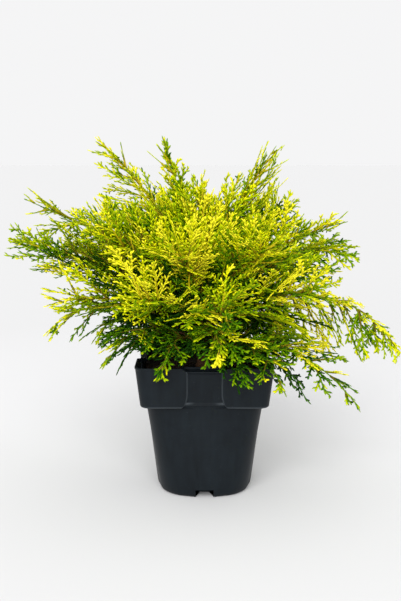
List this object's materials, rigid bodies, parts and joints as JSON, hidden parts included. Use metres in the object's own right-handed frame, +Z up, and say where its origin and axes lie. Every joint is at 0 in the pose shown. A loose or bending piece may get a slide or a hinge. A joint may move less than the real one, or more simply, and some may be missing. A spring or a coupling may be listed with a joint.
{
  "type": "dwarf hinoki cypress in a nursery pot",
  "caption": "Low spreading golden-green dwarf conifer with fan-like sprays, growing in a square-topped, round-footed dark plastic nursery pot.",
  "frame": {"origin": "centre of the pot's flat underside, where it stands", "axes": "+X to the right as the plant is seen from its front, +Y to its back, +Z up"},
  "size_m": [0.3758, 0.2764, 0.3425],
  "materials": {
    "pot": "matte anthracite moulded plastic",
    "soil": "damp bark and peat compost",
    "bark": "thin stringy reddish-brown bark",
    "foliage_gold": "golden-yellow scale leaves",
    "foliage_lime": "lime-green scale leaves",
    "foliage_green": "deep green scale leaves"
  },
  "bodies": {
    "root": {"pot": "pot", "soil": "soil", "trunk": "bark", "foliage_crest_1": "foliage_gold", "foliage_crest_2": "foliage_gold", "foliage_crest_3": "foliage_gold", "foliage_crest_4": "foliage_gold", "foliage_crest_5": "foliage_gold", "bough_shoulder_1": "bark", "foliage_shoulder_1": "foliage_gold", "bough_shoulder_2": "bark", "foliage_shoulder_2": "foliage_gold", "bough_shoulder_3": "bark", "foliage_shoulder_3": "foliage_gold", "bough_shoulder_4": "bark", "foliage_shoulder_4": "foliage_gold", "bough_shoulder_5": "bark", "foliage_shoulder_5": "foliage_gold", "bough_shoulder_6": "bark", "foliage_shoulder_6": "foliage_gold", "bough_shoulder_7": "bark", "foliage_shoulder_7": "foliage_gold", "bough_spread_1": "bark", "foliage_spread_1": "foliage_lime", "bough_spread_2": "bark", "foliage_spread_2": "foliage_lime", "bough_spread_3": "bark", "foliage_spread_3": "foliage_lime", "bough_spread_4": "bark", "foliage_spread_4": "foliage_lime", "bough_spread_5": "bark", "foliage_spread_5": "foliage_lime", "bough_spread_6": "bark", "foliage_spread_6": "foliage_lime", "bough_spread_7": "bark", "foliage_spread_7": "foliage_lime", "bough_spread_8": "bark", "foliage_spread_8": "foliage_lime", "bough_spread_9": "bark", "foliage_spread_9": "foliage_lime", "bough_skirt_1": "bark", "foliage_skirt_1": "foliage_green", "bough_skirt_2": "bark", "foliage_skirt_2": "foliage_green", "bough_skirt_3": "bark", "foliage_skirt_3": "foliage_green", "bough_skirt_4": "bark", "foliage_skirt_4": "foliage_green", "bough_skirt_5": "bark", "foliage_skirt_5": "foliage_green", "bough_skirt_6": "bark", "foliage_skirt_6": "foliage_green", "bough_skirt_7": "bark", "foliage_skirt_7": "foliage_green", "bough_skirt_8": "bark", "foliage_skirt_8": "foliage_green", "bough_skirt_9": "bark", "foliage_skirt_9": "foliage_green", "bough_skirt_10": "bark", "foliage_skirt_10": "foliage_green"}
  },
  "joints": []
}
